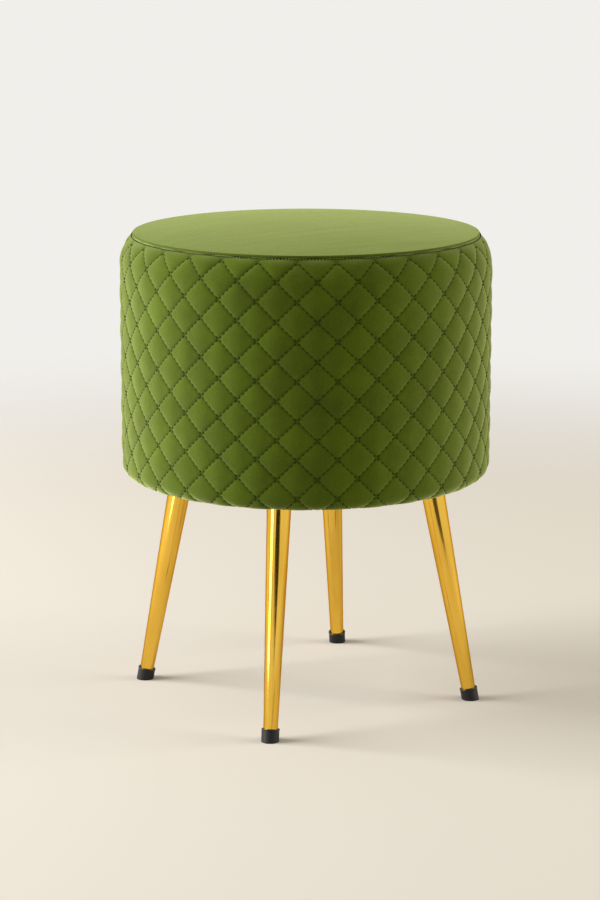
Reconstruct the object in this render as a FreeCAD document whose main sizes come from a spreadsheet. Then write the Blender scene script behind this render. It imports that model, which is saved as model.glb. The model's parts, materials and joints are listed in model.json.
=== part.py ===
# A round pouf: a quilted velvet drum on four splayed, tapered metal legs.
# The origin is on the floor under the middle of the seat, +Z is up and -Y is the front.
# Lengths are in millimetres and angles in degrees.

import FreeCAD
import Part

import math
import os

import Sketcher

Vector = FreeCAD.Vector

# Driving dimensions: alias, value, meaning
DIMENSIONS = [
    ("body_diameter", "352", "over the crests of the quilting"),
    ("underside_height", "220", "floor to the turned hem"),
    ("side_height", "228.4", "hem to the middle of the welt"),
    ("crown_height", "10.9", "middle of the welt to the top of the seat"),
    ("shoulder_radius", "46", "rounding of the side towards the welt"),
    ("shoulder_angle", "40", "lean of the side at the welt"),
    ("corner_radius", "10.5", "rounding of the side under the base"),
    ("quilt_columns", "30", "diamonds round the side"),
    ("quilt_rows", "13", "half diamonds from the first crossing to the hem"),
    ("quilt_puff", "1.8", "crest of a diamond over its stitches"),
    ("seam_margin", "4.5", "welt to the first crossing"),
    ("quilt_thickness", "3", "quilted cover at its stitches"),
    ("hem_thickness", "1.5", "turned hem under the base board"),
    ("hem_width", "16", "hem from the edge of the base board inwards"),
    ("welt_diameter", "2.2", "round welt"),
    ("top_thickness", "1.6", "plain cover of the seat"),
    ("top_roll", "1", "rounding of the plain cover over the welt"),
    ("top_rise", "1.3", "edge of the plain cover over the middle of the welt"),
    ("wadding_thickness", "5", "wadding over the seat foam"),
    ("side_foam_thickness", "8", "foam round the wall"),
    ("seat_foam_depth", "44", "seat board to the middle of the welt"),
    ("soft_gap", "0.3", "clearance between soft layers"),
    ("wall_thickness", "3", "hardboard wall"),
    ("wall_joint", "1", "butt joint of the wall"),
    ("wall_gap", "0.2", "clearance between the wall and the boards"),
    ("seat_board_thickness", "12", "plywood"),
    ("base_board_thickness", "15", "plywood"),
    ("post_count", "8", "posts between the boards"),
    ("post_width", "30", "post across the radius"),
    ("post_depth", "24", "post along the radius"),
    ("post_screw_diameter", "4.5", "shank of a post screw"),
    ("post_screw_length", "45", "shank of a post screw"),
    ("post_screw_head", "9", "head of a post screw"),
    ("post_screw_head_height", "2.8", "head of a post screw"),
    ("screw_clearance", "0.1", "play round every screw and stud"),
    ("dust_thickness", "0.7", "nonwoven dust cover"),
    ("dust_overlap", "12", "dust cover over the hem"),
    ("foot_inset", "13.8", "a leg on the floor in from the crests of the quilting"),
    ("leg_splay", "10.84", "lean of a leg"),
    ("leg_top_diameter", "22.5", "leg at its boss"),
    ("leg_foot_diameter", "13", "leg in its cap"),
    ("leg_wall", "1.2", "wall of the leg tube"),
    ("insert_length", "22", "threaded insert in the leg"),
    ("insert_gap", "0.1", "clearance round the insert"),
    ("stud_diameter", "8", "leg stud"),
    ("stud_reach", "18", "stud over the leg"),
    ("stud_chamfer", "0.8", "both ends of the stud"),
    ("stud_hole", "14", "hole for the stud in board and dust cover"),
    ("cap_wall", "1.75", "rubber round the leg"),
    ("cap_height", "11.5", "cap along the leg"),
    ("cap_floor", "4.5", "rubber under the leg"),
    ("cap_bead", "0.7", "half the thickness of the rim bead"),
    ("cap_gap", "0.1", "clearance between cap and leg"),
    ("plate_length", "50", "leg plate along the radius"),
    ("plate_width", "56", "leg plate across the radius"),
    ("plate_thickness", "3", "leg plate"),
    ("plate_corner", "6", "rounding of the plate's corners"),
    ("plate_offset", "10", "boss out from the middle of the plate"),
    ("boss_diameter", "26", "angled boss of the plate"),
    ("boss_drop", "6", "boss under the plate"),
    ("plate_screw_inset", "6.5", "screw in from the plate's edges"),
    ("plate_screw_diameter", "4", "shank of a plate screw"),
    ("plate_screw_length", "14", "shank of a plate screw"),
    ("plate_screw_head", "8", "head of a plate screw"),
    ("plate_screw_head_height", "2.4", "head of a plate screw"),
    ("staple_width", "10", "crown of a staple"),
    ("staple_wire", "0.65", "wire in the direction of the blow"),
    ("staple_band", "0.95", "wire across the blow"),
    ("staple_leg", "8", "staple leg under the crown"),
    ("wall_staple_count", "24", "staples along each edge of the wall"),
    ("hem_staple_count", "36", "staples in the hem"),
    ("dust_staple_count", "24", "staples in the dust cover"),
    ("hem_staple_inset", "10", "hem staples out from the hem's inner edge"),
    ("dust_staple_inset", "4.5", "dust cover staples out from the hem's inner edge"),
]

LEGS = [("front_left", 225), ("front_right", 315), ("back_right", 45), ("back_left", 135)]
LEG_COUNT = str(len(LEGS))
LEG_TURN = "45"
POST_TURN = "(180 / dims.post_count)"

doc = FreeCAD.newDocument("pouf")
sheet = doc.addObject("Spreadsheet::Sheet", "dims")
for row, (alias, amount, meaning) in enumerate(DIMENSIONS, 1):
    sheet.set("A%d" % row, alias)
    sheet.set("B%d" % row, amount)
    sheet.set("C%d" % row, meaning)
    sheet.setAlias("B%d" % row, alias)
doc.recompute()

# Radii of the layers, from the outside in
VALLEY = "(dims.body_diameter / 2 - dims.quilt_puff)"
COVER_INSIDE = "(%s - dims.quilt_thickness)" % VALLEY
FOAM_OUTSIDE = "(%s - dims.soft_gap)" % COVER_INSIDE
WALL_OUTSIDE = "(%s - dims.side_foam_thickness)" % FOAM_OUTSIDE
WALL_INSIDE = "(%s - dims.wall_thickness)" % WALL_OUTSIDE
BOARD = "(%s - dims.wall_gap)" % WALL_INSIDE
HEM_INSIDE = "(%s - dims.hem_width)" % BOARD
POST_OUTSIDE = "sqrt(%s ^ 2 - (dims.post_width / 2) ^ 2)" % BOARD
POST_MIDDLE = "(%s - dims.post_depth / 2)" % POST_OUTSIDE

# Heights, from the floor up
PLATE_TOP = "(dims.underside_height + dims.hem_thickness - dims.dust_thickness)"
PLATE_BOTTOM = "(%s - dims.plate_thickness)" % PLATE_TOP
BASE_BOTTOM = "(dims.underside_height + dims.hem_thickness)"
BASE_TOP = "(%s + dims.base_board_thickness)" % BASE_BOTTOM
CORNER_TOP = "(dims.underside_height + dims.corner_radius)"
SEAM = "(dims.underside_height + dims.side_height)"
COVER_TOP = "(%s - dims.welt_diameter / 2)" % SEAM
SHOULDER = "(%s - dims.shoulder_radius * sin(dims.shoulder_angle))" % COVER_TOP
SEAT_TOP = "(%s - dims.seat_foam_depth)" % SEAM
SEAT_BOTTOM = "(%s - dims.seat_board_thickness)" % SEAT_TOP
CROWN_TOP = "(%s + dims.crown_height)" % SEAM

# The shoulder and corner of the quilted cover turn about these circles
SHOULDER_MIDDLE = "(%s - dims.shoulder_radius)" % VALLEY
SHOULDER_INSIDE = "(dims.shoulder_radius - dims.quilt_thickness)"
SHOULDER_FOAM = "(%s - dims.soft_gap)" % SHOULDER_INSIDE
CORNER_MIDDLE = "(%s - dims.corner_radius)" % VALLEY
CORNER_FOAM = "(dims.corner_radius - dims.quilt_thickness - dims.soft_gap)"
COVER_MOUTH = "(%s + %s * cos(dims.shoulder_angle))" % (SHOULDER_MIDDLE, SHOULDER_INSIDE)
COVER_EDGE = "(%s + dims.shoulder_radius * cos(dims.shoulder_angle))" % SHOULDER_MIDDLE
WELT_MIDDLE = "((%s + %s) / 2)" % (COVER_MOUTH, COVER_EDGE)
TOP_RIM = "(%s - dims.welt_diameter / 2)" % WELT_MIDDLE

# Distances along a leg, from the point where its axis meets the floor
FOOT_RADIUS = "(dims.body_diameter / 2 - dims.foot_inset)"
LEG_TOP = "((%s - dims.boss_drop) / cos(dims.leg_splay))" % PLATE_BOTTOM
LEG_LENGTH = "(%s - dims.cap_floor)" % LEG_TOP
LEG_TAPER = "((dims.leg_top_diameter - dims.leg_foot_diameter) / 2 / %s)" % LEG_LENGTH
BOSS_RADIUS = "(%s - %s * tan(dims.leg_splay))" % (FOOT_RADIUS, PLATE_BOTTOM)
STUD_RADIUS = "(%s - %s * tan(dims.leg_splay))" % (FOOT_RADIUS, BASE_BOTTOM)
PLATE_MIDDLE = "(%s - dims.plate_offset)" % BOSS_RADIUS


def value(expression):
    """Return an expression's value as a number."""
    return float(sheet.evalExpression(expression))


def turned(angle, rest="placement(vector(0; 0; 0); rotation(vector(0; 0; 1); 0))"):
    """Return the expression of a placement turned about the vertical axis."""
    return "placement(vector(0; 0; 0); rotation(vector(0; 0; 1); %s)) * %s" % (angle, rest)


def along_leg(distance):
    """Return the expression of a placement on the leg's axis, in the leg's own plane."""
    place = "vector({1} - {0} * sin(dims.leg_splay); 0; {0} * cos(dims.leg_splay))"
    lean = "rotation(vector(0; 1; 0); -dims.leg_splay)"
    return "placement(%s; %s)" % (place.format(distance, FOOT_RADIUS), lean)


def new_body(label):
    """Start a body that may hold several separate solids."""
    body = doc.addObject("PartDesign::Body", label)
    body.Label = label
    body.AllowCompound = True
    return body


def origin_feature(body, role):
    """Return one of the body's base planes or axes."""
    return [item for item in body.Origin.OriginFeatures if item.Role == role][0]


def new_sketch(body, plane_name, height="0", turn="0"):
    """Start a sketch off one of the body's base planes, turned in its own plane."""
    sketch = body.newObject("Sketcher::SketchObject", body.Label + "_sketch")
    sketch.AttachmentSupport = [(origin_feature(body, plane_name), "")]
    sketch.MapMode = "FlatFace"
    offset = "placement(vector(0; 0; %s); rotation(vector(0; 0; 1); %s))" % (height, turn)
    sketch.setExpression("AttachmentOffset", offset)
    return sketch


def fix_point(sketch, geometry, point, place):
    """Bind a sketch point to the two expressions of its place."""
    for kind, axis, expression in zip(("DistanceX", "DistanceY"), (-2, -1), place):
        amount = value(expression)
        if expression == "0":
            sketch.addConstraint(Sketcher.Constraint("PointOnObject", geometry, point, axis))
            continue
        index = sketch.addConstraint(Sketcher.Constraint(kind, -1, 1, geometry, point, amount))
        sketch.setExpression("Constraints[%d]" % index, expression)


def draw_outline(sketch, corners, arcs=None):
    """Draw a closed outline through corners given as pairs of expressions.

    arcs maps the number of a side to the arc's centre and whether it runs counterclockwise.
    """
    arcs = arcs or {}
    points = [Vector(value(across), value(up), 0) for across, up in corners]
    first = sketch.GeometryCount
    ends = []
    for side, start in enumerate(points):
        end = points[(side + 1) % len(points)]
        if side not in arcs:
            sketch.addGeometry(Part.LineSegment(start, end), False)
            ends.append((1, 2))
            continue
        (across, up), counterclockwise = arcs[side]
        middle = Vector(value(across), value(up), 0)
        radius = (start - middle).Length
        low, high = (start, end) if counterclockwise else (end, start)
        angles = [math.atan2(spot.y - middle.y, spot.x - middle.x) for spot in (low, high)]
        circle = Part.Circle(middle, Vector(0, 0, 1), radius)
        sketch.addGeometry(Part.ArcOfCircle(circle, angles[0], angles[1]), False)
        ends.append((1, 2) if counterclockwise else (2, 1))
    for side in range(len(points)):
        following = (side + 1) % len(points)
        joint = (first + side, ends[side][1], first + following, ends[following][0])
        sketch.addConstraint(Sketcher.Constraint("Coincident", *joint))
    for side, place in enumerate(corners):
        fix_point(sketch, first + side, ends[side][0], place)
    for side, ((across, up), counterclockwise) in arcs.items():
        if across == "0":
            sketch.addConstraint(Sketcher.Constraint("PointOnObject", first + side, 3, -2))
            continue
        height = Sketcher.Constraint("DistanceY", -1, 1, first + side, 3, value(up))
        index = sketch.addConstraint(height)
        sketch.setExpression("Constraints[%d]" % index, up)


def draw_circle(sketch, place, radius):
    """Draw a circle at a place given as a pair of expressions."""
    middle = Vector(value(place[0]), value(place[1]), 0)
    circle = Part.Circle(middle, Vector(0, 0, 1), value(radius))
    index = sketch.addGeometry(circle, False)
    fix_point(sketch, index, 3, place)
    size = sketch.addConstraint(Sketcher.Constraint("Radius", index, value(radius)))
    sketch.setExpression("Constraints[%d]" % size, radius)


def revolve(body, corners, arcs=None):
    """Turn an outline in the radius and height plane about the vertical axis."""
    sketch = new_sketch(body, "XZ_Plane")
    draw_outline(sketch, corners, arcs)
    feature = body.newObject("PartDesign::Revolution", body.Label + "_revolution")
    feature.Profile = sketch
    feature.ReferenceAxis = (sketch, ["V_Axis"])
    feature.Angle = 360
    doc.recompute()
    return feature


def pad(body, sketch, length):
    """Raise a sketch by a length."""
    feature = body.newObject("PartDesign::Pad", body.Label + "_pad")
    feature.Profile = sketch
    feature.setExpression("Length", length)
    doc.recompute()
    return feature


def pocket(body, sketch, depth=None):
    """Cut a sketch upwards, by a depth or right through."""
    feature = body.newObject("PartDesign::Pocket", body.Label + "_pocket")
    feature.Profile = sketch
    feature.Reversed = True
    if depth is None:
        feature.Type = "ThroughAll"
    else:
        feature.setExpression("Length", depth)
    doc.recompute()
    return feature


def repeat_round(body, features, count):
    """Repeat features round the vertical axis."""
    pattern = body.newObject("PartDesign::PolarPattern", body.Label + "_pattern")
    pattern.Originals = features
    pattern.Axis = (origin_feature(body, "Z_Axis"), [""])
    pattern.Angle = 360
    pattern.setExpression("Occurrences", count)
    body.Tip = pattern
    doc.recompute()


def primitive(body, kind, placement, **sizes):
    """Add or take away a primitive solid."""
    feature = body.newObject("PartDesign::" + kind, body.Label + "_" + kind.lower())
    for name, expression in sizes.items():
        feature.setExpression(name, expression)
    feature.setExpression("Placement", placement)
    doc.recompute()
    return feature


def cut_away(label, base, tools):
    """Take several pieces away from a base, one after another."""
    for tool in tools:
        rest = doc.addObject("Part::Cut", label + "_less_" + tool.Label)
        rest.Base = base
        rest.Tool = tool
        base = rest
    doc.recompute()
    base.Label = label
    return base


def draw_staple(sketch, surface, inwards, along="x"):
    """Draw a staple whose crown starts at a surface, with legs on the side given by inwards."""
    half = "(dims.staple_width / 2)"
    inner = "(%s - dims.staple_band)" % half
    crown = "(%s %s dims.staple_wire)" % (surface, inwards)
    point = "(%s %s dims.staple_wire %s dims.staple_leg)" % (surface, inwards, inwards)
    corners = [
        (surface, "-" + half),
        (surface, half),
        (point, half),
        (point, inner),
        (crown, inner),
        (crown, "-" + inner),
        (point, "-" + inner),
        (point, "-" + half),
    ]
    if along == "y":
        corners = [(across, out) for out, across in corners]
    draw_outline(sketch, corners)


def new_staples(label, rows, count):
    """Make rings of staples driven towards the axis, one ring for each height."""
    body = new_body(label)
    features = []
    for height in rows:
        sketch = new_sketch(body, "XY_Plane", height + " - dims.staple_band / 2")
        draw_staple(sketch, WALL_OUTSIDE, "-")
        features.append(pad(body, sketch, "dims.staple_band"))
    repeat_round(body, features, count)
    return body


def new_upright_staples(label, radius, surface, count):
    """Make a ring of staples driven upwards from a surface."""
    body = new_body(label)
    sketch = new_sketch(body, "YZ_Plane", radius + " - dims.staple_band / 2")
    draw_staple(sketch, surface, "+", "y")
    repeat_round(body, [pad(body, sketch, "dims.staple_band")], count)
    return body


def new_post_screws(label, board_face, inwards):
    """Make one screw for each post, driven from the outer face of a board."""
    body = new_body(label)
    length = "dims.post_screw_length"
    head = "dims.post_screw_head_height"
    if inwards == "+":
        bottoms = (board_face, "%s + %s" % (board_face, head))
    else:
        bottoms = ("%s - %s" % (board_face, head), "%s - %s - %s" % (board_face, head, length))
    features = []
    radii = ("dims.post_screw_head / 2", "dims.post_screw_diameter / 2")
    for bottom, radius, height in zip(bottoms, radii, (head, length)):
        sketch = new_sketch(body, "XY_Plane", bottom, POST_TURN)
        draw_circle(sketch, (POST_MIDDLE, "0"), radius)
        features.append(pad(body, sketch, height))
    repeat_round(body, features, "dims.post_count")
    return body


def new_board(label, bottom, thickness):
    """Make a round board."""
    body = new_body(label)
    sketch = new_sketch(body, "XY_Plane", bottom)
    draw_circle(sketch, ("0", "0"), BOARD)
    pad(body, sketch, thickness)
    return body


def bore_post_holes(body, shank_bottom, head_bottom):
    """Bore a board for the post screws and their heads."""
    shank = new_sketch(body, "XY_Plane", shank_bottom, POST_TURN)
    draw_circle(shank, (POST_MIDDLE, "0"), "dims.post_screw_diameter / 2 + dims.screw_clearance")
    head = new_sketch(body, "XY_Plane", head_bottom, POST_TURN)
    draw_circle(head, (POST_MIDDLE, "0"), "dims.post_screw_head / 2 + dims.screw_clearance")
    features = [pocket(body, shank), pocket(body, head, "dims.post_screw_head_height")]
    repeat_round(body, features, "dims.post_count")


def draw_plate_screws(sketch, radius):
    """Draw four circles near the corners of a leg plate, in the leg's own plane."""
    along = "(dims.plate_length / 2 - dims.plate_screw_inset)"
    across = "(dims.plate_width / 2 - dims.plate_screw_inset)"
    for sign_along in "+-":
        for sign_across in "+-":
            place = ("%s %s %s" % (PLATE_MIDDLE, sign_along, along), "0 %s %s" % (sign_across, across))
            draw_circle(sketch, place, radius)


def bore_leg_holes(body, bottom):
    """Bore a sheet or board for the studs and screws of all four leg plates."""
    sketch = new_sketch(body, "XY_Plane", bottom, LEG_TURN)
    draw_circle(sketch, (STUD_RADIUS, "0"), "dims.stud_hole / 2")
    draw_plate_screws(sketch, "dims.plate_screw_diameter / 2 + dims.screw_clearance")
    repeat_round(body, [pocket(body, sketch)], LEG_COUNT)


def crown_middle(top, edge_radius, edge):
    """Return the centre of the arc from the middle of a crowned face down to its edge."""
    rise = "(%s - %s)" % (top, edge)
    return ("0", "%s - (%s ^ 2 + %s ^ 2) / (2 * %s)" % (top, edge_radius, rise, rise))


def quilt_profile(distance):
    """Return the radius, height and outward direction of the stitched profile.

    The distance runs down the profile from the welt: over the shoulder, down the side and round
    the corner to the hem.
    """
    shoulder = value("dims.shoulder_radius")
    corner = value("dims.corner_radius")
    lean = math.radians(value("dims.shoulder_angle"))
    side = value(SHOULDER) - value(CORNER_TOP)
    past_shoulder = distance - shoulder * lean
    if past_shoulder < 0:
        angle = -past_shoulder / shoulder
        middle = (value(SHOULDER_MIDDLE), value(SHOULDER))
        radius = shoulder
    elif past_shoulder <= side:
        return value(VALLEY), value(SHOULDER) - past_shoulder, (1, 0)
    else:
        angle = -(past_shoulder - side) / corner
        middle = (value(CORNER_MIDDLE), value(CORNER_TOP))
        radius = corner
    outward = (math.cos(angle), math.sin(angle))
    return middle[0] + radius * outward[0], middle[1] + radius * outward[1], outward


def quilt_length():
    """Return the length of the stitched profile from the welt to the hem."""
    shoulder = value("dims.shoulder_radius") * math.radians(value("dims.shoulder_angle"))
    corner = value("dims.corner_radius") * math.pi / 2
    return shoulder + value(SHOULDER) - value(CORNER_TOP) + corner


def make_quilt():
    """Return the quilted side as a closed solid, one rounded patch for each diamond."""
    rows = int(value("dims.quilt_rows"))
    columns = int(value("dims.quilt_columns"))
    margin = value("dims.seam_margin")
    puff = value("dims.quilt_puff")
    pitch = (quilt_length() - margin) / rows
    levels = [0] + [margin + row * pitch for row in range(rows + 1)]

    def on_profile(distance, column, lift=0):
        """Return a point at a distance down the profile, lifted off it."""
        radius, height, outward = quilt_profile(distance)
        angle = 2 * math.pi * column / columns
        radius += lift * outward[0]
        height += lift * outward[1]
        return Vector(radius * math.cos(angle), radius * math.sin(angle), height)

    def crossings(row):
        """Return the crossings along a row, where every other row is shifted by half a diamond."""
        return [column + row % 2 / 2 for column in range(columns)]

    faces = []
    for row in range(1, rows + 1):
        upper, level, lower = levels[row - 1:row + 2]
        crest_level = (upper + 2 * level + lower) / 4
        crest_lift = puff * (lower - upper) / (2 * pitch)
        for column in crossings(row):
            middle = column + 0.5
            left = on_profile(level, column)
            right = on_profile(level, column + 1)
            over = on_profile(upper, middle)
            under = on_profile(lower, middle)
            mean = (left + right + over + under) / 4
            crest = on_profile(crest_level, middle, crest_lift)
            poles = [
                [over, (over + right) / 2, right],
                [(over + left) / 2, crest * 4 - mean * 3, (right + under) / 2],
                [left, (left + under) / 2, under],
            ]
            patch = Part.BezierSurface()
            patch.increase(2, 2)
            for line, line_poles in enumerate(poles, 1):
                for place, pole in enumerate(line_poles, 1):
                    patch.setPole(line, place, pole)
            faces.append(patch.toShape())
    for edge_row, next_row in ((0, 1), (rows + 1, rows)):
        ring = []
        for column in crossings(edge_row):
            ring.append(on_profile(levels[edge_row], column))
            following = on_profile(levels[edge_row], column + 1)
            tip = on_profile(levels[next_row], column + 0.5)
            faces.append(Part.Face(Part.makePolygon([ring[-1], following, tip, ring[-1]])))
        faces.append(Part.Face(Part.makePolygon(ring + ring[:1])))
    shell = Part.makeShell(faces)
    shell.sewShape()
    return Part.makeSolid(shell)


# Staples
wall_rows = (
    "%s + dims.base_board_thickness / 2" % BASE_BOTTOM,
    "%s + dims.seat_board_thickness / 2" % SEAT_BOTTOM,
)
wall_staples = new_staples("wall_staples", wall_rows, "dims.wall_staple_count")
hem_ring = "%s + dims.hem_staple_inset" % HEM_INSIDE
hem_staples = new_upright_staples(
    "hem_staples", hem_ring, "dims.underside_height", "dims.hem_staple_count")
dust_ring = "%s + dims.dust_staple_inset" % HEM_INSIDE
dust_face = "(dims.underside_height - dims.dust_thickness - dims.staple_wire)"
dust_staples = new_upright_staples(
    "dust_cover_staples", dust_ring, dust_face, "dims.dust_staple_count")

# Boards, posts and wall
seat_blank = new_board("seat_board_blank", SEAT_BOTTOM, "dims.seat_board_thickness")
bore_post_holes(seat_blank, SEAT_BOTTOM, "%s - dims.post_screw_head_height" % SEAT_TOP)
seat_board = cut_away("seat_board", seat_blank, [wall_staples])

base_blank = new_board("base_board_blank", BASE_BOTTOM, "dims.base_board_thickness")
bore_post_holes(base_blank, BASE_BOTTOM, BASE_BOTTOM)
bore_leg_holes(base_blank, BASE_BOTTOM)
base_board = cut_away("base_board", base_blank, [wall_staples, hem_staples, dust_staples])

posts = []
post_height = "(%s - %s)" % (SEAT_BOTTOM, BASE_TOP)
post_hole = "dims.post_screw_diameter / 2 + dims.screw_clearance"
screw_bite = "(dims.post_screw_length + dims.post_screw_head_height - %s)"
lower_bite = screw_bite % "dims.base_board_thickness"
upper_bite = screw_bite % "dims.seat_board_thickness"
for number in range(int(value("dims.post_count"))):
    post = new_body("frame_post_%d" % (number + 1))
    outline = new_sketch(post, "XY_Plane", BASE_TOP)
    near = "(%s - dims.post_depth)" % POST_OUTSIDE
    half = "(dims.post_width / 2)"
    draw_outline(outline, [
        (near, "-" + half), (POST_OUTSIDE, "-" + half), (POST_OUTSIDE, half), (near, half)])
    pad(post, outline, post_height)
    for bottom, depth in (
            (BASE_TOP, lower_bite), ("%s - %s" % (SEAT_BOTTOM, upper_bite), upper_bite)):
        hole = new_sketch(post, "XY_Plane", bottom)
        draw_circle(hole, (POST_MIDDLE, "0"), post_hole)
        pocket(post, hole, depth)
    post.setExpression("Placement", turned("%s * %d" % (POST_TURN, 2 * number + 1)))
    posts.append(post)

lower_screws = new_post_screws("post_screws_bottom", BASE_BOTTOM, "+")
upper_screws = new_post_screws("post_screws_top", SEAT_TOP, "-")

wall_blank = new_body("drum_wall_blank")
wall_ring = new_sketch(wall_blank, "XY_Plane", BASE_BOTTOM)
draw_circle(wall_ring, ("0", "0"), WALL_OUTSIDE)
draw_circle(wall_ring, ("0", "0"), WALL_INSIDE)
pad(wall_blank, wall_ring, "%s - %s" % (SEAT_TOP, BASE_BOTTOM))
wall_slit = new_sketch(wall_blank, "XY_Plane", BASE_BOTTOM)
slit_half = "(dims.wall_joint / 2)"
slit_inside = "(%s - dims.wall_thickness)" % WALL_INSIDE
slit_outside = "(%s + dims.wall_thickness)" % WALL_OUTSIDE
draw_outline(wall_slit, [
    ("-" + slit_half, slit_inside),
    (slit_half, slit_inside),
    (slit_half, slit_outside),
    ("-" + slit_half, slit_outside),
])
pocket(wall_blank, wall_slit)
drum_wall = cut_away("drum_wall", wall_blank, [wall_staples])

# Foam and wadding
side_foam = new_body("side_foam")
foam_inside = "(%s + dims.wall_gap)" % WALL_OUTSIDE
foam_bottom = "(%s - sqrt(%s ^ 2 - (%s - %s) ^ 2))" % (
    CORNER_TOP, CORNER_FOAM, foam_inside, CORNER_MIDDLE)
foam_corner = "(%s + %s)" % (CORNER_MIDDLE, CORNER_FOAM)
revolve(side_foam, [
    (foam_inside, foam_bottom),
    (foam_corner, CORNER_TOP),
    (foam_corner, SEAT_TOP),
    (foam_inside, SEAT_TOP),
], {0: ((CORNER_MIDDLE, CORNER_TOP), True)})

wadding_edge = "(%s - dims.top_thickness - dims.soft_gap)" % TOP_RIM
wadding_ring = "(%s - dims.wadding_thickness)" % wadding_edge
foam_ledge = "(%s + %s * sin(dims.shoulder_angle))" % (SHOULDER, SHOULDER_FOAM)
foam_mouth = "(%s + %s * cos(dims.shoulder_angle))" % (SHOULDER_MIDDLE, SHOULDER_FOAM)
foam_side = "(%s + %s)" % (SHOULDER_MIDDLE, SHOULDER_FOAM)
foam_top = "(%s - dims.top_thickness - 2 * dims.soft_gap - dims.wadding_thickness)" % CROWN_TOP
seat_foam = new_body("seat_foam")
revolve(seat_foam, [
    ("0", SEAT_TOP),
    (foam_side, SEAT_TOP),
    (foam_side, SHOULDER),
    (foam_mouth, foam_ledge),
    (wadding_ring, foam_ledge),
    ("0", foam_top),
], {
    2: ((SHOULDER_MIDDLE, SHOULDER), True),
    4: (crown_middle(foam_top, wadding_ring, foam_ledge), True),
})

wadding_low = "(%s + dims.soft_gap)" % foam_top
wadding_top = "(%s - dims.top_thickness - dims.soft_gap)" % CROWN_TOP
wadding_rise = "(%s + dims.top_rise - dims.top_thickness - dims.soft_gap)" % SEAM
seat_wadding = new_body("seat_wadding")
revolve(seat_wadding, [
    ("0", wadding_low),
    (wadding_ring, "%s + dims.soft_gap" % foam_ledge),
    (wadding_ring, foam_ledge),
    (wadding_edge, foam_ledge),
    (wadding_edge, wadding_rise),
    ("0", wadding_top),
], {
    0: (crown_middle(wadding_low, wadding_ring, "(%s + dims.soft_gap)" % foam_ledge), False),
    4: (crown_middle(wadding_top, wadding_edge, wadding_rise), True),
})

# Covers
top_edge = "(%s + dims.top_rise)" % SEAM
top_inside = "(%s - dims.top_thickness)" % TOP_RIM
top_low = "(%s - dims.top_thickness)" % top_edge
top_under = "(%s - dims.top_thickness)" % CROWN_TOP
top_cover = new_body("top_cover")
top_shell = revolve(top_cover, [
    ("0", top_under),
    (top_inside, top_low),
    (top_inside, foam_ledge),
    (TOP_RIM, foam_ledge),
    (TOP_RIM, top_edge),
    ("0", CROWN_TOP),
], {
    0: (crown_middle(top_under, top_inside, top_low), False),
    4: (crown_middle(CROWN_TOP, TOP_RIM, top_edge), True),
})
rim_names = []
for number, edge in enumerate(top_shell.Shape.Edges, 1):
    spots = [vertex.Point for vertex in edge.Vertexes]
    radii = [math.hypot(spot.x, spot.y) - value(TOP_RIM) for spot in spots]
    heights = [spot.z - value(top_edge) for spot in spots]
    if max(map(abs, radii + heights)) < 0.01:
        rim_names.append("Edge%d" % number)
rim_roll = top_cover.newObject("PartDesign::Fillet", "top_cover_roll")
rim_roll.Base = (top_shell, rim_names)
rim_roll.setExpression("Radius", "dims.top_roll")
doc.recompute()

edge_welt = doc.addObject("Part::Torus", "edge_welt")
edge_welt.Label = "edge_welt"
edge_welt.setExpression("Radius1", WELT_MIDDLE)
edge_welt.setExpression("Radius2", "dims.welt_diameter / 2")
edge_welt.setExpression("Placement.Base.z", SEAM)

cavity = new_body("cover_cavity")
below = "(dims.underside_height - dims.quilt_thickness)"
above = "(%s + dims.quilt_thickness)" % COVER_TOP
step = "(%s + dims.wall_gap)" % WALL_OUTSIDE
corner_inside = "(dims.corner_radius - dims.quilt_thickness)"
step_height = "(%s - sqrt(%s ^ 2 - (%s - %s) ^ 2))" % (
    CORNER_TOP, corner_inside, step, CORNER_MIDDLE)
revolve(cavity, [
    ("0", below),
    (HEM_INSIDE, below),
    (HEM_INSIDE, BASE_BOTTOM),
    (step, BASE_BOTTOM),
    (step, step_height),
    (COVER_INSIDE, CORNER_TOP),
    (COVER_INSIDE, SHOULDER),
    (COVER_MOUTH, "%s + %s * sin(dims.shoulder_angle)" % (SHOULDER, SHOULDER_INSIDE)),
    (COVER_MOUTH, above),
    ("0", above),
], {
    4: ((CORNER_MIDDLE, CORNER_TOP), True),
    6: ((SHOULDER_MIDDLE, SHOULDER), True),
})
cover_corner = new_body("cover_corner")
corner_fill = "(dims.corner_radius - dims.soft_gap)"
revolve(cover_corner, [
    (CORNER_MIDDLE, CORNER_TOP),
    (CORNER_MIDDLE, "%s - %s" % (CORNER_TOP, corner_fill)),
    ("%s + %s" % (CORNER_MIDDLE, corner_fill), CORNER_TOP),
], {
    1: ((CORNER_MIDDLE, CORNER_TOP), True),
})
side_cover = doc.addObject("Part::Feature", "side_cover")
side_cover.Label = "side_cover"
padded_side = make_quilt().fuse(cover_corner.Shape)
side_cover.Shape = padded_side.cut([cavity.Shape, hem_staples.Shape, dust_staples.Shape])
side_cover.Placement = FreeCAD.Placement()

dust_blank = new_body("dust_cover_blank")
dust_step = "(%s - dims.soft_gap)" % HEM_INSIDE
dust_inner = "(%s - dims.dust_thickness)" % dust_step
dust_edge = "(%s + dims.dust_overlap)" % HEM_INSIDE
dust_under = "(dims.underside_height - dims.dust_thickness)"
revolve(dust_blank, [
    ("0", PLATE_TOP),
    (dust_inner, PLATE_TOP),
    (dust_inner, dust_under),
    (dust_edge, dust_under),
    (dust_edge, "dims.underside_height"),
    (dust_step, "dims.underside_height"),
    (dust_step, BASE_BOTTOM),
    ("0", BASE_BOTTOM),
])
bore_leg_holes(dust_blank, "(%s - dims.plate_thickness)" % dust_under)
dust_cover = cut_away("dust_cover", dust_blank, [dust_staples])

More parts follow.
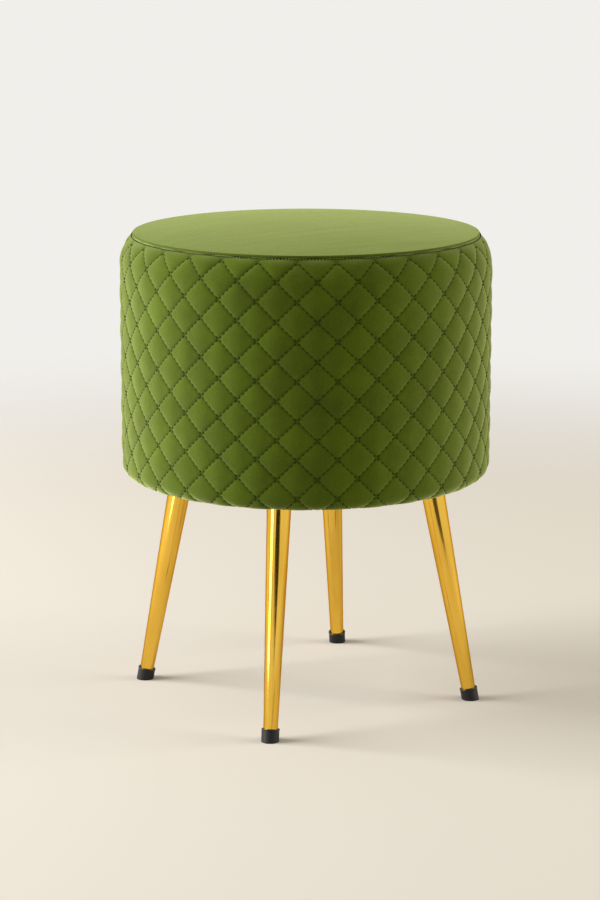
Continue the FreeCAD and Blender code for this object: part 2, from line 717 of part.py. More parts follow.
# Legs
plate_screws = new_body("plate_screws")
head_bottom = "%s - dims.plate_screw_head_height" % PLATE_BOTTOM
heads = new_sketch(plate_screws, "XY_Plane", head_bottom, LEG_TURN)
draw_plate_screws(heads, "dims.plate_screw_head / 2")
head_pads = pad(plate_screws, heads, "dims.plate_screw_head_height")
shanks = new_sketch(plate_screws, "XY_Plane", PLATE_BOTTOM, LEG_TURN)
draw_plate_screws(shanks, "dims.plate_screw_diameter / 2")
shank_pads = pad(plate_screws, shanks, "dims.plate_screw_length")
repeat_round(plate_screws, [head_pads, shank_pads], LEG_COUNT)

leg_pieces = []
for name, azimuth in LEGS:
    plate = new_body("leg_plate_" + name)
    outline = new_sketch(plate, "XY_Plane", PLATE_BOTTOM)
    near = "(%s - dims.plate_length / 2)" % PLATE_MIDDLE
    far = "(%s + dims.plate_length / 2)" % PLATE_MIDDLE
    half = "(dims.plate_width / 2)"
    draw_outline(outline, [(near, "-" + half), (far, "-" + half), (far, half), (near, half)])
    flat = pad(plate, outline, "dims.plate_thickness")
    uprights = []
    for number, edge in enumerate(flat.Shape.Edges, 1):
        start, end = [vertex.Point for vertex in edge.Vertexes]
        if abs(start.z - end.z) > value("dims.plate_thickness") / 2:
            uprights.append("Edge%d" % number)
    corners = plate.newObject("PartDesign::Fillet", "plate_corners")
    corners.Base = (flat, uprights)
    corners.setExpression("Radius", "dims.plate_corner")
    doc.recompute()
    primitive(plate, "AdditiveCylinder", along_leg(LEG_TOP),
              Radius="dims.boss_diameter / 2", Height="dims.boss_drop + dims.boss_diameter / 2")
    trim = "placement(vector(%s; -dims.plate_width / 2; %s); rotation(vector(0; 0; 1); 0))"
    primitive(plate, "SubtractiveBox", trim % (near, PLATE_TOP),
              Length="dims.plate_length", Width="dims.plate_width", Height="dims.boss_diameter")
    primitive(plate, "SubtractiveCylinder", along_leg("(%s - dims.boss_drop)" % LEG_TOP),
              Radius="dims.stud_diameter / 2 + dims.screw_clearance",
              Height="3 * dims.boss_drop + dims.boss_diameter")
    screw_holes = new_sketch(plate, "XY_Plane", PLATE_BOTTOM)
    draw_plate_screws(screw_holes, "dims.plate_screw_diameter / 2 + dims.screw_clearance")
    pocket(plate, screw_holes)
    plate.setExpression("Placement", turned(azimuth))

    tube = new_body("leg_tube_" + name)
    foot = "(dims.leg_foot_diameter / 2)"
    top = "(dims.leg_top_diameter / 2)"
    revolve(tube, [
        ("%s - dims.leg_wall" % foot, "dims.cap_floor"),
        (foot, "dims.cap_floor"),
        (top, LEG_TOP),
        ("%s - dims.leg_wall" % top, LEG_TOP),
    ])
    tube.setExpression("Placement", turned(azimuth, along_leg("0")))

    insert = new_body("leg_insert_" + name)
    upper = "(%s - dims.leg_wall - dims.insert_gap)" % top
    lower = "(%s - dims.insert_length * %s)" % (upper, LEG_TAPER)
    bore = "(dims.stud_diameter / 2 + dims.screw_clearance)"
    insert_bottom = "(%s - dims.insert_length)" % LEG_TOP
    bore_bottom = "(%s + dims.stud_diameter / 2)" % insert_bottom
    revolve(insert, [
        ("0", insert_bottom),
        (lower, insert_bottom),
        (upper, LEG_TOP),
        (bore, LEG_TOP),
        (bore, bore_bottom),
        ("0", bore_bottom),
    ])
    insert.setExpression("Placement", turned(azimuth, along_leg("0")))

    stud = new_body("leg_stud_" + name)
    radius = "(dims.stud_diameter / 2)"
    stud_top = "(%s + dims.stud_reach)" % LEG_TOP
    revolve(stud, [
        ("0", bore_bottom),
        ("%s - dims.stud_chamfer" % radius, bore_bottom),
        (radius, "%s + dims.stud_chamfer" % bore_bottom),
        (radius, "%s - dims.stud_chamfer" % stud_top),
        ("%s - dims.stud_chamfer" % radius, stud_top),
        ("0", stud_top),
    ])
    stud.setExpression("Placement", turned(azimuth, along_leg("0")))

    cap = new_body("foot_cap_" + name)
    cap_radius = "(%s + dims.cap_wall)" % foot
    primitive(cap, "AdditiveCylinder", along_leg("-dims.cap_floor"),
              Radius=cap_radius, Height="dims.cap_floor + dims.cap_height")
    primitive(cap, "AdditiveTorus", along_leg("(dims.cap_height - dims.cap_bead)"),
              Radius1="%s - dims.cap_bead / 2" % cap_radius, Radius2="dims.cap_bead")
    bore_height = "(dims.cap_height - dims.cap_floor + dims.cap_bead)"
    primitive(cap, "SubtractiveCone", along_leg("dims.cap_floor"),
              Radius1="%s + dims.cap_gap" % foot,
              Radius2="%s + dims.cap_gap + %s * %s" % (foot, bore_height, LEG_TAPER),
              Height=bore_height)
    floor_corner = "vector(%s - dims.cap_height * 2; -dims.cap_height * 2; -dims.cap_height)" % FOOT_RADIUS
    floor = "placement(%s; rotation(vector(0; 0; 1); 0))" % floor_corner
    primitive(cap, "SubtractiveBox", floor,
              Length="dims.cap_height * 4", Width="dims.cap_height * 4", Height="dims.cap_height")
    cap.setExpression("Placement", turned(azimuth))
    leg_pieces += [plate, tube, insert, stud, cap]

nodes = [seat_board, base_board, drum_wall, side_foam, seat_foam, seat_wadding]
nodes += [side_cover, top_cover, edge_welt, dust_cover]
nodes += [lower_screws, upper_screws, plate_screws, wall_staples, hem_staples, dust_staples]
nodes += posts + leg_pieces

doc.recompute()
for item in doc.Objects:
    if "Invalid" in item.State or "Error" in item.State:
        raise RuntimeError("%s did not build: %s" % (item.Label, item.State))
for node in nodes:
    if node.Shape.isNull() or not node.Shape.isValid():
        raise RuntimeError("%s has no valid shape" % node.Label)

os.makedirs("parts", exist_ok=True)
for node in nodes:
    node.Shape.exportStep("parts/%s.step" % node.Label)
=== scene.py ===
import json
import math

import bpy
import numpy as np
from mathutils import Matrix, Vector, noise


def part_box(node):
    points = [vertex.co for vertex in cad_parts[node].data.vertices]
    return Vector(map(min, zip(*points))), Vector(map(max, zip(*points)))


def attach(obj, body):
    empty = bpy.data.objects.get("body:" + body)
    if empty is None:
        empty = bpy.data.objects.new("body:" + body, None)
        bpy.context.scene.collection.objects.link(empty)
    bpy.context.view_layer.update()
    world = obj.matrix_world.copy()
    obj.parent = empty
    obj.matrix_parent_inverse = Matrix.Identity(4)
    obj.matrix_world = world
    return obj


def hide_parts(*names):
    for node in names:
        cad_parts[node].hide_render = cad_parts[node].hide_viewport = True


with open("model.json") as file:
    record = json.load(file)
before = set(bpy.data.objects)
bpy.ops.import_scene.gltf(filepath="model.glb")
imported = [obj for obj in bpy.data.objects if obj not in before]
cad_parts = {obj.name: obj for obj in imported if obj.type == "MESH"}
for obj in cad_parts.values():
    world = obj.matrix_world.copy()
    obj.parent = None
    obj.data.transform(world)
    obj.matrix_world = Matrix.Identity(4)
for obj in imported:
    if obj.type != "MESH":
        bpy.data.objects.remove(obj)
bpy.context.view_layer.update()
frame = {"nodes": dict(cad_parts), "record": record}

bl_info = {
    "name": "Quilted velvet pouf",
    "version": (1, 0, 0),
    "blender": (4, 5, 0),
    "location": "View3D > Sidebar > Pouf",
    "description": "Dresses the pouf's frame in quilted velvet, polished metal and rubber",
    "category": "Add Mesh",
}

MM = 0.001
SOFT_NODES = (
    "side_cover", "top_cover", "edge_welt", "side_foam", "seat_foam", "seat_wadding", "dust_cover")
BOXES = {node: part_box(node) for node in SOFT_NODES + ("drum_wall",)}


class QuiltSettings(bpy.types.PropertyGroup):
    """Sizes of the quilted side, its stitches and the welt"""

    columns: bpy.props.IntProperty(
        name="Columns", description="Diamonds round the side", default=30)
    rows: bpy.props.IntProperty(
        name="Rows", description="Half diamonds from the first crossing to the hem", default=13)
    valley_radius: bpy.props.FloatProperty(
        name="Valley radius", description="Side at its stitches",
        default=174.2 * MM, unit="LENGTH")
    puff: bpy.props.FloatProperty(
        name="Puff", description="Crest of a diamond over its stitches",
        default=1.8 * MM, unit="LENGTH")
    shoulder_radius: bpy.props.FloatProperty(
        name="Shoulder", description="Rounding towards the welt", default=46 * MM, unit="LENGTH")
    shoulder_lean: bpy.props.FloatProperty(
        name="Shoulder lean", description="Lean of the side at the welt",
        default=math.radians(40), subtype="ANGLE")
    corner_radius: bpy.props.FloatProperty(
        name="Corner", description="Rounding under the base", default=10.5 * MM, unit="LENGTH")
    seam_margin: bpy.props.FloatProperty(
        name="Seam margin", description="Welt to the first crossing",
        default=4.5 * MM, unit="LENGTH")
    tuck: bpy.props.FloatProperty(
        name="Tuck", description="Cover turned in under the welt", default=5 * MM, unit="LENGTH")
    hem: bpy.props.FloatProperty(
        name="Hem", description="Cover turned under the base", default=15 * MM, unit="LENGTH")
    padding_roll: bpy.props.FloatProperty(
        name="Padding roll", description="Reach over which the padding rises from a stitch line",
        default=4.2 * MM, unit="LENGTH")
    groove_depth: bpy.props.FloatProperty(
        name="Groove depth", description="Pile pulled in by a stitch line",
        default=0.28 * MM, unit="LENGTH")
    groove_width: bpy.props.FloatProperty(
        name="Groove width", description="Half width of a stitch line",
        default=1.0 * MM, unit="LENGTH")
    pinch_width: bpy.props.FloatProperty(
        name="Pinch", description="Reach of the pinch where two lines cross",
        default=2.2 * MM, unit="LENGTH")
    stitches_per_side: bpy.props.IntProperty(
        name="Stitches", description="Stitches along one side of a diamond", default=5)
    thread_radius: bpy.props.FloatProperty(
        name="Thread", description="Radius of the sewing thread", default=0.42 * MM, unit="LENGTH")


class SeatSettings(bpy.types.PropertyGroup):
    """Sizes of the seat's plain top and the layers under it"""

    edge_rise: bpy.props.FloatProperty(
        name="Edge rise", description="Edge of the top over the middle of the welt",
        default=1.3 * MM, unit="LENGTH")
    edge_roll: bpy.props.FloatProperty(
        name="Edge roll", description="Rounding of the top over the welt",
        default=1.0 * MM, unit="LENGTH")
    overhang: bpy.props.FloatProperty(
        name="Overhang", description="Rolled edge of the top out over the welt",
        default=2 * MM, unit="LENGTH")
    unevenness: bpy.props.FloatProperty(
        name="Unevenness", description="Soft rise and fall of the padded top",
        default=0.35 * MM, unit="LENGTH")
    cloth_thickness: bpy.props.FloatProperty(
        name="Cloth", description="Thickness of the velvet", default=1.2 * MM, unit="LENGTH")


class FinishSettings(bpy.types.PropertyGroup):
    """Colours of the finishes as sRGB hex values"""

    velvet: bpy.props.StringProperty(
        name="Velvet", description="Velvet seen along its pile", default="#455700")
    velvet_shade: bpy.props.StringProperty(
        name="Velvet shade", description="Velvet seen into its pile", default="#384600")
    velvet_sheen: bpy.props.StringProperty(
        name="Velvet sheen", description="Light on the tips of the pile", default="#d4e39a")
    # The thread's colour also paints the shade into the velvet's stitch grooves, crossings and the
    # top's crease
    thread: bpy.props.StringProperty(
        name="Thread", description="Sewing thread", default="#1f2b00")
    gold: bpy.props.StringProperty(
        name="Gold", description="Polished gold plating", default="#f4c653")
    rubber: bpy.props.StringProperty(
        name="Rubber", description="Foot caps", default="#0e0e0f")


class StageSettings(bpy.types.PropertyGroup):
    """The camera, the light and the floor"""

    camera_turn: bpy.props.FloatProperty(
        name="Camera turn", description="Camera round the pouf from its front",
        default=math.radians(-33.38), subtype="ANGLE")
    camera_distance: bpy.props.FloatProperty(
        name="Camera distance", description="Camera from the pouf's axis",
        default=2.4595, unit="LENGTH")
    camera_height: bpy.props.FloatProperty(
        name="Camera height", description="Camera over the floor", default=0.78645, unit="LENGTH")
    camera_pitch: bpy.props.FloatProperty(
        name="Camera pitch", description="Camera looking down",
        default=math.radians(12.56), subtype="ANGLE")
    camera_yaw: bpy.props.FloatProperty(
        name="Camera yaw", description="Camera looking to the left of the axis",
        default=math.radians(0.13), subtype="ANGLE")
    lens: bpy.props.FloatProperty(
        name="Lens", description="Focal length in millimetres", default=105.24)
    ambient: bpy.props.FloatProperty(
        name="Ambient", description="Even light from all round", default=0.46)
    ambient_colour: bpy.props.StringProperty(
        name="Ambient colour", description="Even light as an sRGB hex value", default="#fff4df")
    backdrop_colour: bpy.props.StringProperty(
        name="Backdrop", description="Backdrop as an sRGB hex value", default="#f1efeb")
    key_power: bpy.props.FloatProperty(
        name="Key", description="Large soft light from the left", default=240, unit="POWER")
    strip_power: bpy.props.FloatProperty(
        name="Strip", description="Narrow light that draws a line on the legs",
        default=2.2, unit="POWER")
    fill_power: bpy.props.FloatProperty(
        name="Fill", description="Soft light from the right", default=54, unit="POWER")
    lamp_colour: bpy.props.StringProperty(
        name="Lamp colour", description="Key and strip as an sRGB hex value", default="#fffdf9")
    fill_colour: bpy.props.StringProperty(
        name="Fill colour", description="Fill as an sRGB hex value", default="#fff8e4")
    floor_colour: bpy.props.StringProperty(
        name="Floor", description="Floor as an sRGB hex value", default="#c4c1bd")


def linear(code):
    """Return a sRGB hex colour as linear red, green, blue and alpha."""
    shades = [int(code[place:place + 2], 16) / 255 for place in (1, 3, 5)]
    return tuple(
        c / 12.92 if c <= 0.04045 else ((c + 0.055) / 1.055) ** 2.4 for c in shades) + (1.0,)


def add_node(tree, kind, settings=None, links=None, stops=()):
    """Add a node, set its properties, sockets and ramp stops, and link it from other nodes."""
    node = tree.nodes.new(kind)
    for name, amount in (settings or {}).items():
        if isinstance(name, int) or name in node.inputs:
            node.inputs[name].default_value = amount
        else:
            setattr(node, name, amount)
    for number, (place, colour) in enumerate(stops):
        stop = node.color_ramp.elements[number]
        stop.position, stop.color = place, linear(colour)
    for name, source in (links or {}).items():
        tree.links.new(source, node.inputs[name])
    return node


def new_material(name, **sockets):
    """Start a material and return it with its tree and its shader."""
    material = bpy.data.materials.new(name)
    material.use_nodes = True
    tree = material.node_tree
    shader = tree.nodes["Principled BSDF"]
    for socket, amount in sockets.items():
        shader.inputs[socket.replace("_", " ")].default_value = amount
    return material, tree, shader


def pattern(tree, size, detail=3, stretch=(1, 1, 1), turn=0):
    """Return the output of a noise whose features have a real size in metres."""
    place = add_node(tree, "ShaderNodeTexCoord")
    mapping = add_node(
        tree, "ShaderNodeMapping", {"Scale": stretch, "Rotation": (0, 0, turn)},
        {"Vector": place.outputs["Object"]})
    grain = add_node(
        tree, "ShaderNodeTexNoise", {"Scale": 1 / size, "Detail": detail},
        {"Vector": mapping.outputs["Vector"]})
    return grain.outputs["Fac"]


def velvet_material(name, streaks=False, sheen=1.0):
    """Short-pile velvet: dark into the pile, pale along grazing edges, darker where sewn down,
    with painted shade in grooves and crease.
    """
    colours = bpy.context.scene.pouf_finish
    material, tree, shader = new_material(
        name, Roughness=0.9, Sheen_Weight=sheen, Sheen_Roughness=0.45,
        Sheen_Tint=linear(colours.velvet_sheen), Specular_IOR_Level=0.06)
    # Tufts are about 0.4 mm and drawn at 1.4 mm so that they show
    tufts = pattern(tree, 1.4 * MM, 2)
    # The pile leans in patches a few centimetres wide, or in long streaks on a stretched top
    stretch = (0.16, 1, 1) if streaks else (1, 1, 1)
    lean = pattern(tree, (14 if streaks else 30) * MM, 3, stretch, math.radians(33))
    mixed = add_node(
        tree, "ShaderNodeMix", {"data_type": "FLOAT", 0: 0.45}, {2: lean, 3: tufts})
    contrast = 0.3 if streaks else 0.15
    pile = add_node(
        tree, "ShaderNodeValToRGB", None, {"Fac": mixed.outputs[0]},
        [(0.5 - contrast, colours.velvet_shade), (0.5 + contrast, colours.velvet)])
    # Painted shade: the thread's colour darkens the pile in stitch grooves, at crossings and in
    # the top's crease, partly also for pile pressed flat there
    pressed_and_shade = add_node(tree, "ShaderNodeAttribute", {"attribute_name": "pressed_and_shade"})
    sewn = add_node(
        tree, "ShaderNodeMix", {"data_type": "RGBA", 7: linear(colours.thread)},
        {0: pressed_and_shade.outputs["Fac"], 6: pile.outputs["Color"]})
    tree.links.new(sewn.outputs[2], shader.inputs["Base Color"])
    height, depth = (mixed.outputs[0], 1.6 * MM) if streaks else (tufts, 0.25 * MM)
    bump = add_node(
        tree, "ShaderNodeBump", {"Strength": 0.5, "Distance": depth}, {"Height": height})
    tree.links.new(bump.outputs["Normal"], shader.inputs["Normal"])
    return material


def thread_material():
    """Twisted polyester sewing thread: darker and smoother than the pile, with a fine twist."""
    colours = bpy.context.scene.pouf_finish
    material, tree, shader = new_material(
        "polyester_thread", Roughness=0.65, Specular_IOR_Level=0.12)
    # The turns of the twist are about 0.3 mm and drawn at 0.6 mm so that they show
    twist = pattern(tree, 0.6 * MM, 1)
    tint = add_node(
        tree, "ShaderNodeValToRGB", None, {"Fac": twist},
        [(0.3, "#141c00"), (0.7, colours.thread)])
    tree.links.new(tint.outputs["Color"], shader.inputs["Base Color"])
    return material


def gold_material():
    """Gold plating on a polished steel tube: a near mirror with faint haze and hairlines."""
    colours = bpy.context.scene.pouf_finish
    material, tree, shader = new_material(
        "gold_plated_steel", Metallic=1.0, Roughness=0.1, Specular_Tint=linear("#bf8420"))
    haze = pattern(tree, 25 * MM, 4, (1, 1, 0.3))
    tint = add_node(
        tree, "ShaderNodeValToRGB", None, {"Fac": haze}, [(0.3, "#e6b542"), (0.7, colours.gold)])
    tree.links.new(tint.outputs["Color"], shader.inputs["Base Color"])
    # Hairlines from polishing are finer than 0.1 mm and drawn 1.2 mm apart so that they show
    hairlines = pattern(tree, 1.2 * MM, 2, (1, 1, 0.05))
    gloss = add_node(
        tree, "ShaderNodeMapRange", {"To Min": 0.07, "To Max": 0.12}, {"Value": hairlines})
    tree.links.new(gloss.outputs["Result"], shader.inputs["Roughness"])
    return material


def grained_material(
        name, dark, pale, size, depth, strength=0.4, detail=4, stretch=(1, 1, 1), **sockets):
    """A finish whose one grain, of a real size, varies its colour and raises its surface."""
    material, tree, shader = new_material(name, **sockets)
    grain = pattern(tree, size, detail, stretch)
    tint = add_node(
        tree, "ShaderNodeValToRGB", None, {"Fac": grain}, [(0.3, dark), (0.7, pale)])
    bump = add_node(
        tree, "ShaderNodeBump", {"Strength": strength, "Distance": depth}, {"Height": grain})
    tree.links.new(tint.outputs["Color"], shader.inputs["Base Color"])
    tree.links.new(bump.outputs["Normal"], shader.inputs["Normal"])
    return material


def wood_material(name, dark, pale, ring):
    """Bare wood: long matt grain of a real ring width, slightly raised."""
    return grained_material(
        name, dark, pale, ring, 0.2 * MM, 0.3, 5, (0.08, 1, 1), Roughness=0.65, IOR=1.5)


def new_piece(name, verts, faces, material, slot, replaced=()):
    """Make a smooth piece that rides on the pouf and stands for its frame nodes."""
    mesh = bpy.data.meshes.new(name)
    mesh.from_pydata([tuple(v) for v in verts], [], [tuple(f) for f in faces])
    mesh.materials.append(material)
    mesh.shade_smooth()
    piece = bpy.data.objects.new(name, mesh)
    bpy.context.scene.collection.objects.link(piece)
    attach(piece, "root")
    if replaced:
        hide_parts(*replaced)
    return piece


def apply_modifiers(piece):
    """Turn a piece's modifiers into plain mesh."""
    graph = bpy.context.evaluated_depsgraph_get()
    mesh = bpy.data.meshes.new_from_object(piece.evaluated_get(graph))
    piece.modifiers.clear()
    piece.data = mesh
    mesh.shade_smooth()


def thicken(piece, thickness, offset):
    """Give a sheet its thickness, as plain mesh."""
    shell = piece.modifiers.new("thickness", "SOLIDIFY")
    shell.thickness = thickness
    shell.offset = offset
    apply_modifiers(piece)


def mesh_points(mesh, what="position"):
    """Return a mesh's points, or the numbers of one of its attributes, as an array."""
    width = 3 if what == "position" else 1
    numbers = np.empty(len(mesh.vertices) * width)
    key = "vector" if what == "position" else "value"
    mesh.attributes[what].data.foreach_get(key, numbers)
    return numbers.reshape(-1, 3) if what == "position" else numbers


def set_points(mesh, points):
    """Move a mesh's points."""
    mesh.vertices.foreach_set("co", np.asarray(points).ravel())
    mesh.update()


def set_numbers(mesh, name, numbers):
    """Keep a number for each point of a mesh."""
    layer = mesh.attributes.new(name, "FLOAT", "POINT")
    layer.data.foreach_set("value", np.asarray(numbers, dtype=float))


def point_normals(mesh):
    """Return the normals at a mesh's points."""
    normals = np.empty(len(mesh.vertices) * 3)
    mesh.vertex_normals.foreach_get("vector", normals)
    return normals.reshape(-1, 3)


def quilt_profile(distance):
    """Return radius, height and outward direction at distances down the side from the welt.

    A distance below zero lies in the tuck under the welt, one past the corner on the hem.
    """
    quilt = bpy.context.scene.pouf_quilt
    top = BOXES["edge_welt"][0].z
    low = BOXES["side_cover"][0].z
    lean, arc, corner = quilt.shoulder_lean, quilt.shoulder_radius, quilt.corner_radius
    shoulder = top - arc * math.sin(lean)
    side_end = arc * lean + shoulder - low - corner
    corner_end = side_end + corner * math.pi / 2
    roll = quilt.tuck / 3
    middle = quilt.valley_radius - arc
    tip = (middle + arc * math.cos(lean), top)
    inward = np.clip(-distance / roll, 0, math.pi - lean)
    below = np.maximum(-distance - roll * (math.pi - lean), 0)
    regions = [distance < 0, distance < arc * lean, distance < side_end, distance < corner_end]
    angles = np.select(
        regions,
        [lean + inward, lean - distance / arc, 0 * distance, -(distance - side_end) / corner],
        -math.pi / 2)
    across, up = np.cos(angles), np.sin(angles)
    radius = np.select(
        regions,
        [tip[0] + roll * (across - math.cos(lean)),
         middle + arc * across,
         quilt.valley_radius + 0 * distance,
         quilt.valley_radius - corner + corner * across],
        quilt.valley_radius - corner - (distance - corner_end))
    height = np.select(
        regions,
        [tip[1] + roll * (up - math.sin(lean)) - below,
         shoulder + arc * up,
         shoulder - (distance - arc * lean),
         low + corner + corner * up],
        low)
    return radius, height, across, up


def quilt_length():
    """Return the length of the side from the welt to the hem, along its profile."""
    quilt = bpy.context.scene.pouf_quilt
    straight = BOXES["edge_welt"][0].z - BOXES["side_cover"][0].z
    straight -= quilt.shoulder_radius * math.sin(quilt.shoulder_lean) + quilt.corner_radius
    return (quilt.shoulder_radius * quilt.shoulder_lean + straight
            + quilt.corner_radius * math.pi / 2)


def quilt_pitch():
    """Return the distance between two rows of crossings."""
    quilt = bpy.context.scene.pouf_quilt
    return (quilt_length() - quilt.seam_margin) / quilt.rows


def on_side(column, row, lift=0):
    """Return points and outward directions at places of the quilt, lifted off its stitches."""
    quilt = bpy.context.scene.pouf_quilt
    column, row = np.broadcast_arrays(np.asarray(column, float), np.asarray(row, float))
    radius, height, across, up = quilt_profile(quilt.seam_margin + row * quilt_pitch())
    angle = 2 * math.pi * column / quilt.columns
    outward = np.stack([across * np.cos(angle), across * np.sin(angle), up], -1)
    points = np.stack([radius * np.cos(angle), radius * np.sin(angle), height], -1)
    return points + np.asarray(lift)[..., None] * outward, outward


def stitch_gap():
    """Return the distance between two neighbouring stitch lines that run the same way."""
    quilt = bpy.context.scene.pouf_quilt
    half = math.pi * quilt.valley_radius / quilt.columns
    return 2 * half * quilt_pitch() / math.hypot(half, quilt_pitch())


def from_line(place):
    """Return how far a place across the stitch lines is from the nearest one, in gaps."""
    return np.abs(place - 0.5 - np.round(place - 0.5))


def smooth(amount):
    """Return a soft step that is zero below zero and one above one."""
    amount = np.clip(amount, 0, 1)
    return amount ** 2 * (3 - 2 * amount)


def padding_rise(falling, rising, distance):
    """Return how far the padding stands over the stitches, with small chance differences."""
    quilt = bpy.context.scene.pouf_quilt
    welt_fade, hem_fade = 7 * MM, 6 * MM
    least, repeats, around = 0.88, 64, 2 * quilt.columns
    roll = quilt.padding_roll / stitch_gap()
    rise = (1 - np.exp(-from_line(falling) / roll)) * (1 - np.exp(-from_line(rising) / roll))
    ends = smooth(distance / welt_fade) * smooth((quilt_length() - distance) / hem_fade)
    first, second = np.floor(falling + 0.5).astype(int), np.floor(rising + 0.5).astype(int)
    chance = np.random.default_rng(7).uniform(least, 1.0, (repeats, around))
    share = chance[(first - second) % repeats, (first + second) % around]
    return quilt.puff * rise * ends * share


class POUF_OT_quilted_side(bpy.types.Operator):
    """Make the quilted velvet side, blown up between its stitch lines as cloth"""

    bl_idname = "pouf.quilted_side"
    bl_label = "Quilted side"

    # Cells along one side of a diamond, how they crowd to its lines, and steps of the cloth
    cells = 8
    crowding = 1.5
    frames = 20
    # Where the lines begin to show under the welt, and how much painted shade darkens lines and
    # crossings
    line_fade = 3 * MM
    line_shade = 0.12
    pinch_shade = 0.3
    # How far the cloth may leave the padding's own rise, and slide along the side
    slack = 0.15
    slide_limit = 0.8 * MM

    def lattice(self):
        """Return the places of a grid across both sets of stitch lines, and its faces."""
        quilt = bpy.context.scene.pouf_quilt
        first = -math.ceil((quilt.seam_margin + quilt.tuck) / quilt_pitch() * self.cells)
        last = math.ceil((quilt.rows + quilt.hem / quilt_pitch()) * self.cells)
        across = quilt.columns * self.cells
        line = np.repeat(np.arange(first, last + 1), across)
        twice = 2 * np.tile(np.arange(across), last + 1 - first) + line % 2
        falling, rising = self.crowd((twice + line) / 2), self.crowd((twice - line) / 2)

        def number(line, place):
            return (line - first) * across + place % across

        faces = []
        for line in range(first, last + 1):
            shift = line % 2
            for place in range(across):
                here = number(line, place)
                along = number(line, place + 1)
                if line == first:
                    faces.append((here, number(line + 1, place + shift), along))
                if line == last:
                    faces.append((here, along, number(line - 1, place + shift)))
                if line + 2 <= last:
                    left = number(line + 1, place + shift - 1)
                    right = number(line + 1, place + shift)
                    faces.append((here, left, number(line + 2, place), right))
        return falling, rising, faces

    def crowd(self, steps):
        """Return places across the stitch lines, close together near a line."""
        place = steps / self.cells
        whole = np.round(place - 0.5) + 0.5
        part = 2 * (place - whole)
        return whole + np.sign(part) * np.abs(part) ** self.crowding / 2

    def blow_up(self, piece, pinned):
        """Let air press the cloth outwards between its pinned stitches."""
        group = piece.vertex_groups.new(name="stitches")
        group.add([int(place) for place in np.nonzero(pinned)[0]], 1.0, "REPLACE")
        cloth = piece.modifiers.new("cloth", "CLOTH")
        cloth.settings.vertex_group_mass = "stitches"
        cloth.settings.mass = 0.02
        cloth.settings.tension_stiffness = 12
        cloth.settings.compression_stiffness = 4
        cloth.settings.shear_stiffness = 6
        cloth.settings.bending_stiffness = 0.02
        cloth.settings.shrink_min = -0.05
        cloth.settings.use_pressure = True
        cloth.settings.uniform_pressure_force = 2.5
        cloth.settings.effector_weights.gravity = 0
        scene = bpy.context.scene
        cloth.point_cache.frame_start = 1
        cloth.point_cache.frame_end = self.frames
        for step in range(1, self.frames + 1):
            scene.frame_set(step)
        apply_modifiers(piece)
        scene.frame_set(1)

    def execute(self, context):
        quilt = context.scene.pouf_quilt
        falling, rising, faces = self.lattice()
        column, row = (falling + rising) / 2, falling - rising
        distance = quilt.seam_margin + row * quilt_pitch()
        inside = (distance > 0) & (distance < quilt_length())
        flat, outward = on_side(column, row)
        rise = padding_rise(falling, rising, distance)
        velvet = velvet_material("short_pile_velvet")
        piece = new_piece("quilted_side", flat + rise[:, None] * outward, faces, velvet, "velvet",
                          ("side_cover",))
        to_falling, to_rising = from_line(falling), from_line(rising)
        pinned = (np.minimum(to_falling, to_rising) < 0.01) | ~inside
        self.blow_up(piece, pinned)
        moved = mesh_points(piece.data) - flat
        raised = (moved * outward).sum(1)
        lift = np.clip(raised, (1 - self.slack) * rise, (1 + self.slack) * rise)
        slide = moved - raised[:, None] * outward
        length = np.maximum(np.linalg.norm(slide, axis=1), 1e-9)
        slide *= np.minimum(1, self.slide_limit / length)[:, None]
        set_points(piece.data, flat + lift[:, None] * outward + slide)
        set_numbers(piece.data, "to_falling", to_falling * stitch_gap())
        set_numbers(piece.data, "to_rising", to_rising * stitch_gap())
        set_numbers(piece.data, "shown", smooth(distance / self.line_fade) * inside)
        finer = piece.modifiers.new("finer", "SUBSURF")
        finer.levels = finer.render_levels = 1
        apply_modifiers(piece)
        mesh = piece.data
        shown = mesh_points(mesh, "shown")
        away = [mesh_points(mesh, name) for name in ("to_falling", "to_rising")]
        line = np.exp(-(np.minimum(*away) / quilt.groove_width) ** 2) * shown
        pinch = np.exp(-(np.hypot(*away) / quilt.pinch_width) ** 2) * shown
        pull = quilt.groove_depth * (line + pinch)
        set_points(mesh, mesh_points(mesh) - pull[:, None] * point_normals(mesh))
        # Painted shade in the stitch grooves and at the crossings, partly also the pile pressed
        # down there
        shade = self.line_shade * line + self.pinch_shade * pinch
        set_numbers(mesh, "pressed_and_shade", np.clip(shade, 0, 1))
        for name in ("to_falling", "to_rising", "shown"):
            mesh.attributes.remove(mesh.attributes[name])
        thicken(piece, context.scene.pouf_seat.cloth_thickness, -1)
        return {"FINISHED"}


def thread_dashes(starts, ends, outward, radius):
    """Return points and faces of sewn stitches, each arched over the cloth with sunken ends."""
    sides = 5
    along = np.array([0.0, 0.22, 0.78, 1.0])
    sink = np.array([-1.6, 0.45, 0.45, -1.6]) * radius
    girth = np.array([0.5, 1.0, 1.0, 0.5]) * radius
    run = ends - starts
    across = np.cross(run, outward)
    across /= np.linalg.norm(across, axis=1)[:, None]
    turn = 2 * math.pi * np.arange(sides) / sides
    ring = (np.cos(turn)[:, None] * across[:, None, None, :]
            + np.sin(turn)[:, None] * outward[:, None, None, :])
    spine = starts[:, None] + along[:, None] * run[:, None] + sink[:, None] * outward[:, None]
    points = spine[:, :, None] + girth[None, :, None, None] * ring
    faces = []
    for number in range(len(starts)):
        base = number * len(along) * sides
        faces.append(tuple(base + side for side in range(sides)))
        faces.append(tuple(base + len(along) * sides - 1 - side for side in range(sides)))
        for level in range(len(along) - 1):
            for side in range(sides):
                low = base + level * sides
                high = low + sides
                following = (side + 1) % sides
                faces.append((low + side, high + side, high + following, low + following))
    return points.reshape(-1, 3), faces


